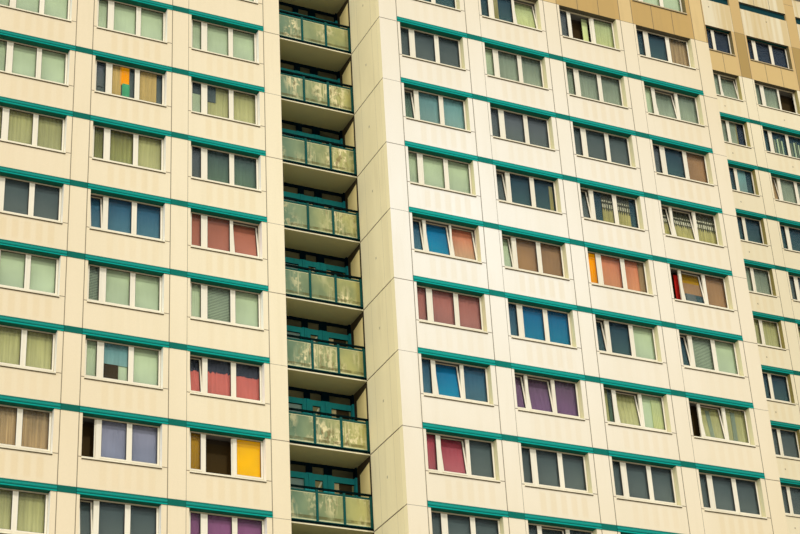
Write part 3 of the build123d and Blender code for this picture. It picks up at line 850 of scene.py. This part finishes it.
hangs = {key: cloth for cloth, (*finish, windows) in CLOTHS.items() for key in windows_in(windows)}
common = ["dark_room"] * 6 + ["pale_green"] * 4 + ["grey_green"] * 3 + ["olive"] * 3 + [
    "slate", "dark_blue", "blue_grey", "dusty_pink", "purple", "brown", "tan", "slatted", "salmon"]
by_cloth = {cloth: [] for cloth in CLOTHS}
for (name, side, storey, bay, light), how in stance.items():
    if light == "a":
        usual = rng.choice(common)
    cloth = hangs.get((name, storey, bay, light), usual) if side == "front" else usual
    depth, spare = STANDS[how]
    if how in ("open", "left_hung") and cloth == "open_room":
        depth, spare = BARE_STANDS
    width = LIGHTS[light][1] - LIGHTS[light][0]
    by_cloth[cloth].append((behind(name, side, storey, bay, light, how, 0.5, depth),
                            width + spare, CLOTH_HEIGHT))
    # Behind a tilted sash, a dark sheet deep in the room is painted as its shade.
    if how == "tilted":
        depth = 0.54 + 0.02 * "abc".index(light)
        by_cloth["open_room"].append((behind(name, side, storey, bay, light, "shut", 0.5, depth),
                                      width + 0.5, CLOTH_HEIGHT))
for block, pieces in HALF_DRAWN.items():
    for piece in pieces.split(","):
        cloth, window, *shares = piece.split()
        start, end, top, foot = map(float, shares)
        for name, storey, bay, light in windows_in(f"{block} {window}"):
            how = stance[name, "front", storey, bay, light]
            depth = PART_STANDS[how] - 0.01 * (top > 0.4)
            width = LIGHTS[light][1] - LIGHTS[light][0]
            by_cloth[cloth].append((
                behind(name, "front", storey, bay, light, how, (start + end) / 2, depth,
                       CLOTH_HEAD - CLOTH_HEIGHT * top),
                width * (end - start), CLOTH_HEIGHT * (foot - top)))
for cloth, (head_color, foot_color, folds, windows) in CLOTHS.items():
    material, surface = blank(cloth)
    woven = use_group(material.node_tree, hung_cloth, Place=place_in(material),
                      Cloth=head_color, Foot=foot_color, Folds=folds, **SPECIAL.get(cloth, {}))
    feed(surface, Base_Color=woven["Color"], Roughness=0.85, Specular_IOR_Level=0.1)
    # Painted light: yellow and orange cloths glow faintly, as if lit from the room behind.
    if cloth in ("yellow", "orange"):
        feed(surface, Specular_IOR_Level=0.0, Emission_Color=(1.0, 0.46, 0.0),
             Emission_Strength=0.3)
    join(f"{cloth}_screens", [put(f"{cloth}_screens", hung_board(cloth, folds), by_cloth[cloth],
                                  material)], material)

# Crown. The highest window row and the blind storey over it are painted ochre, with cream
# panels, a dark slot behind the parapet and a coping of dark concrete.
# Painted shade on the undersides of the crown.
CROWN_SOFFIT_SHADE = (0.065, 0.055, 0.032)


def crown_paint(name, lower, upper, split, thirds, stained=False):
    """Ochre paint whose tone changes at a height, with a joint at each third of a panel; its
    soffits and the reveals that face left carry painted shade.
    """
    material, place, worn = paint(name, lower, (0.35, 0.25, 0.12), 0.25)
    at, facing = axes(place), axes(normal_at(place))
    right_half = over(at["X"], blocks["tall_block"]["left"])
    shade = tint(right_half, worn, upper)
    if stained:
        stripes = speckle(place, (6, 6, 0.2), 1.0, 3, 0.4, 0.62)
        shade = tint(times(stripes, 0.6), shade, (0.86, 0.8, 0.6))
    lines, on_panel, dots = 0.0, 0.0, 0.0
    for block in (blocks["left_wing"], blocks["centre"], blocks["tall_block"]):
        u = wrap(minus(at["X"], block["joint"]), BAY)
        here = times(over(at["X"], block["left"]), under(at["X"], block["right"]))
        found = most(0.0, *(near(u, third, 0.008) for third in thirds))
        lines = most(lines, times(here, found))
        on_panel = most(on_panel, times(here, under(u, PANEL)))
        dots = most(dots, times(here, near(u, *HOLE)))
    if name == "crown_pier_ochre":
        panel_ochre = tint(right_half, (0.55, 0.36, 0.13), (0.66, 0.46, 0.2))
        shade = tint(on_panel, shade, panel_ochre)
    up = in_storey(at, blocks["centre"])
    if stained:
        lines = most(lines, times(dots, near(up, 0.62, 0.02)))
    lines = times(most(lines, near(up, split, 0.012)), over(calc("ABSOLUTE", facing["Y"]), 0.5))
    shade = tint(times(lines, 0.8), shade, LINE_GREY)
    # Soffits and the reveals that face left carry painted shade.
    shade = tint(under(facing["Z"], -0.5), shade, CROWN_SOFFIT_SHADE)
    shaded_reveal = times(under(facing["X"], -0.5), over(on_panel, 0.5))
    return recolor(material, tint(shaded_reveal, shade, (0.2, 0.165, 0.075)))


slot_teal, place, worn = paint("slot_teal", (0.0, 0.045, 0.055), (0.0, 0.03, 0.035), 0.3,
                               gloss=0.01)
# The undersides of the slot are painted darker, as painted shade.
recolor(slot_teal, tint(faces_down(place), worn, (0.0, 0.04, 0.035)))
dress(slot_teal, "attic_inner_walls")
PIER_OCHRE, PANEL_CREAM = (0.73, 0.53, 0.24), (0.75, 0.62, 0.38)
NO_SPLIT = 9.0
third = (PANEL / 3, PANEL * 2 / 3)
for node, *look in (
        ("crown_piers", "crown_pier_ochre", PIER_OCHRE, (0.43, 0.29, 0.1), 0.0,
         (0.0, PANEL, BAY)),
        ("crown_spandrels", "crown_spandrel_ochre", (0.55, 0.36, 0.125), (0.66, 0.47, 0.2),
         SPANDREL_HEAD, third),
        ("attic_piers", "attic_pier_ochre", PIER_OCHRE, (0.62, 0.43, 0.18), 0.0, ()),
        ("attic_panels", "attic_panel_cream", PANEL_CREAM, (0.68, 0.53, 0.28), NO_SPLIT,
         (0.0, PANEL), True),
        ("parapet_panels", "parapet_panel_cream", PANEL_CREAM, (0.66, 0.52, 0.27), NO_SPLIT,
         third, True)):
    dress(crown_paint(*look), node)
dress(paint("end_wall_ochre", (0.62, 0.43, 0.19), (0.35, 0.25, 0.12), 0.3)[0], "crown_end_walls")
for node, name in (("wall_copings", "coping_concrete"), ("end_copings", "coping_concrete_ends")):
    dress(paint(name, (0.12, 0.115, 0.11), (0.3, 0.29, 0.26), 0.4)[0], node)

# End walls. Storey-high panels with filled joints; upright casting marks and small fixing
# holes show in the paint of the wall beside the loggias.
loggia_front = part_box("loggia_railings")[0][1] - 0.01
loggia_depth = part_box("loggia_screens")[1][1] - loggia_front


def end_paint(name, block):
    """Paint of an end wall, with level joints and upright casting marks; beside the loggias the
    inner wall is painted lit, with painted shade under the slab, at its back and along its front
    edge.
    """
    material, place, worn = paint(f"{name}_end_cream", END_CREAM, (0.55, 0.46, 0.24), 0.32)
    at = axes(place)
    up = in_storey(at, block)
    back = minus(at["Y"], block["front"])
    marks = most(0.0, *(near(back, mark, 0.004) for mark in (0.14, 0.375, 0.975)))
    hole = times(near(back, 0.68, 0.02), near(up, 0.75, 0.024))
    shade = worn
    for mask, strength in ((marks, 0.35), (under(up, 0.024), 0.9), (hole, 0.5)):
        shade = tint(times(mask, strength), shade, LINE_GREY)
    if name == "centre":
        inward = minus(at["Y"], loggia_front)
        within = times(over(inward, -0.008), under(inward, loggia_depth),
                       under(at["X"], blocks["core"]["right"] + 0.01))
        # The inner wall of the loggia is painted lit, and painted shade lies under the slab above,
        # at its back and along its front edge.
        shade = tint(within, shade, (1.0, 0.8, 0.35))
        inner_wall_shade = most(over(calc("MULTIPLY_ADD", inward, 0.2, up), 1.31), over(inward, 0.455),
                      under(inward, 0.056))
        shade = tint(times(inner_wall_shade, within), shade, (0.05, 0.035, 0.015))
    return recolor(material, shade)


for name in ("left_wing", "centre", "tall_block"):
    dress(end_paint(name, blocks[name]), f"{name}_end_walls")

# Loggias. Slabs hung between the two blocks carry railings of teal steel with panes of wired
# glass, streaked by dirt; the screen behind has a window, a door and a wide window.
core = blocks["core"]
stack = Matrix.Translation(((core["left"] + core["right"]) / 2, loggia_front, core["head"]))
half_width = core["right"] - core["left"]
post = 0.09
pane_step = (2 * half_width - post) / 3
loggias = {"bays": 1, "storeys": core["storeys"] - 1}


def steel_paint(name, color, shaded, low, high):
    """Teal gloss paint on steel, darker underneath and outside two heights of a storey."""
    material, place, worn = paint(name, color, (0.01, 0.03, 0.02), 0.35, roughness=0.5, bump=0.1,
                                  gloss=0.02)
    up = in_storey(axes(place), core)
    dark = most(under(up, low), over(up, high), faces_down(place))
    return recolor(material, tint(dark, worn, shaded))


steel = steel_paint("steel_teal", (0.0, 0.08, 0.07), (0.0, 0.006, 0.006), 0.07, 0.645)
full_width = (-half_width, half_width)
rail_bars = [(full_width, (-0.012, 0.07), (0.115, 0.165)),
             (full_width, (-0.012, -0.002), (0.05, 0.115)),
             (full_width, (0.02, 0.07), (1.175, 1.235)),
             (full_width, (0.01, 0.08), (1.305, 1.37))]
pane_boxes = []
for index in range(4):
    x = -half_width + index * pane_step
    rail_bars.append(((x, x + post), (0.015, 0.075), (0.165, 1.305)))
    if index < 3:
        pane_boxes.append(((x + post - 0.01, x + pane_step + 0.01), (0.038, 0.05), (0.155, 1.18)))
rails = on_wall(bars("railing", rail_bars, stack), loggias, steel)
join("loggia_railing_bars", [rails], steel, ["loggia_railings"])
wired, surface = blank("wired_glass")
place = place_in(wired)
at = axes(place)
up = in_storey(at, core)
across = calc("DIVIDE", minus(at["X"], core["left"]), half_width)
shade = tint(across, (0.15, 0.25, 0.16), (0.5, 0.46, 0.15))
patches = speckle(place, (2.4, 2.4, 1.6), 1.0, 3, 0.4, 0.65)
worst = speckle(place, (2.2, 2.2, 1.3), 1.0, 1, 0.42, 0.64)
drips = speckle(place, (30, 30, 1.6), 1.0, 4, 0.5, 0.66)
curls = speckle(place, (15, 15, 11), 1.0, 6, 0.5, 0.6)
rust = speckle(place, (19, 19, 7), 1.0, 4, 0.56, 0.64)
tide = times(near(up, 0.152, 0.026), speckle(place, (9, 9, 9), 1.0, 3, 0.3, 0.55))
rim = most(under(up, 0.112), over(up, 0.574))
for mask, color in ((times(patches, 0.6), (0.09, 0.16, 0.09)),
                    (times(most(drips, curls), worst), (0.82, 0.72, 0.4)),
                    (times(rust, worst, 0.75), (0.2, 0.14, 0.05)),
                    (times(tide, 0.7), (0.11, 0.09, 0.02)),
                    (times(rim, 0.75), (0.82, 0.8, 0.46))):
    shade = tint(mask, shade, color)
feed(surface, Base_Color=shade, Roughness=0.5, Specular_IOR_Level=0.15, Alpha=0.94)
join("loggia_railing_panes", [on_wall(bars("railing_pane", pane_boxes, stack), loggias, wired)],
     wired, ["loggia_infills"])

SLAB_SOFFIT_SHADE = (0.33, 0.295, 0.135)
slab_paint, place, worn = paint("slab_paint", (0.88, 0.8, 0.55), (0.3, 0.25, 0.12), 0.3)
# The undersides of the slabs are painted dark, as painted shade.
recolor(slab_paint, tint(faces_down(place), worn, SLAB_SOFFIT_SHADE))
dress(slab_paint, "loggia_slabs")
attic_cream = paint("loggia_attic_cream", CREAMS["core"][0], CREAM_GRIME, 0.2)[0]
dress(attic_cream, "loggia_attic_wall")

# Loggia screens. Between the slabs stand steel frames with a window, a door and a wide window,
# under small lights that lie in the shade of the slab above.
screen_back = 2 * loggia_depth
screen_front = screen_back - 0.07
screen_steel = steel_paint("screen_teal", (0.015, 0.36, 0.39), (0.0, 0.006, 0.01), 0.0, 1.215)
# Each bar: its sides and its foot and head, in groups that stand out in front of the frame.
standing_out = {
    0.0: [(0, 2 * half_width, 0.12, 0.19), (0, 2 * half_width, 2.255, 2.41),
          (0, 2 * half_width, 2.7, 2.8), (0, 0.07, 0.12, 2.8)],
    0.01: [(left, right, foot, head) for left, right in ((0.07, 1.125), (1.505, 1.81), (2.22, 2.99))
           for foot, head in ((0.19, 0.3), (2.19, 2.255))],
    0.02: [], 0.03: [],
    0.1: [(2 * half_width - 0.07, 2 * half_width, 0.12, 2.8)]}
for left, right, stile in ((1.205, 1.425, 0.08), (1.87, 2.16, 0.06)):
    middle = (left + right) / 2
    standing_out[0.0].append((left, right, 2.41, 2.7))
    standing_out[0.02] += [(left - stile, middle - 0.045, 0.19, 2.255),
                           (middle + 0.045, right + stile, 0.19, 2.255)]
    standing_out[0.03].append((middle - 0.035, middle + 0.035, 0.12, 2.41))
screen_bars = [((left - half_width, right - half_width), (screen_front - out, screen_back),
                (foot, head)) for out, group in standing_out.items()
               for left, right, foot, head in group]
join("loggia_screen_bars", [on_wall(bars("screen", screen_bars, stack), loggias, screen_steel)],
     screen_steel, ["loggia_screens"])
dim_glass, surface = blank("dim_glass")
place = place_in(dim_glass)
at = axes(place)
up = in_storey(at, core)
across = calc("DIVIDE", minus(at["X"], core["left"]), half_width)
# The upper lights are painted dark, as the shade of the slab above; the lower ones carry patches of
# colour and a bright slanting streak, a painted reflection.
upper = tint(speckle(place, (1.5, 1.5, 2.5), 1.0, 2, 0.3, 0.7), (0.03, 0.032, 0.02),
             (0.13, 0.12, 0.06))
lower = tint(over(across, 0.4), (0.28, 0.42, 0.38), (0.34, 0.31, 0.14))
slope = calc("MULTIPLY_ADD", up, -0.31, across)
for mask, color in ((near(slope, 0.247, 0.012), (0.95, 0.9, 0.62)),
                    (over(across, 0.65), (0.8, 0.68, 0.38)),
                    (over(across, 0.795), (0.05, 0.035, 0.015)),
                    (over(across, 0.955), (0.3, 0.28, 0.12))):
    lower = tint(mask, lower, color)
feed(surface, Base_Color=tint(under(up, 1.16), upper, lower), Roughness=0.25,
     Specular_IOR_Level=0.25)
dress(dim_glass, "loggia_screen_glass")

# Floors, entrance and the walls round it. Floor slabs and roofs painted near black, as roofing felt
# on top and as painted shade on the ceilings of the unlit rooms, and a painted steel door with a
# lintel in the wall under the loggias.
dress(paint("bare_concrete", (0.12, 0.11, 0.09), (0.07, 0.06, 0.045), 0.4)[0],
      *(f"{name}_floors" for name in blocks))
dress(attic_cream, "entrance_side_walls", "entrance_lintel")
dress(steel, "entrance_door")
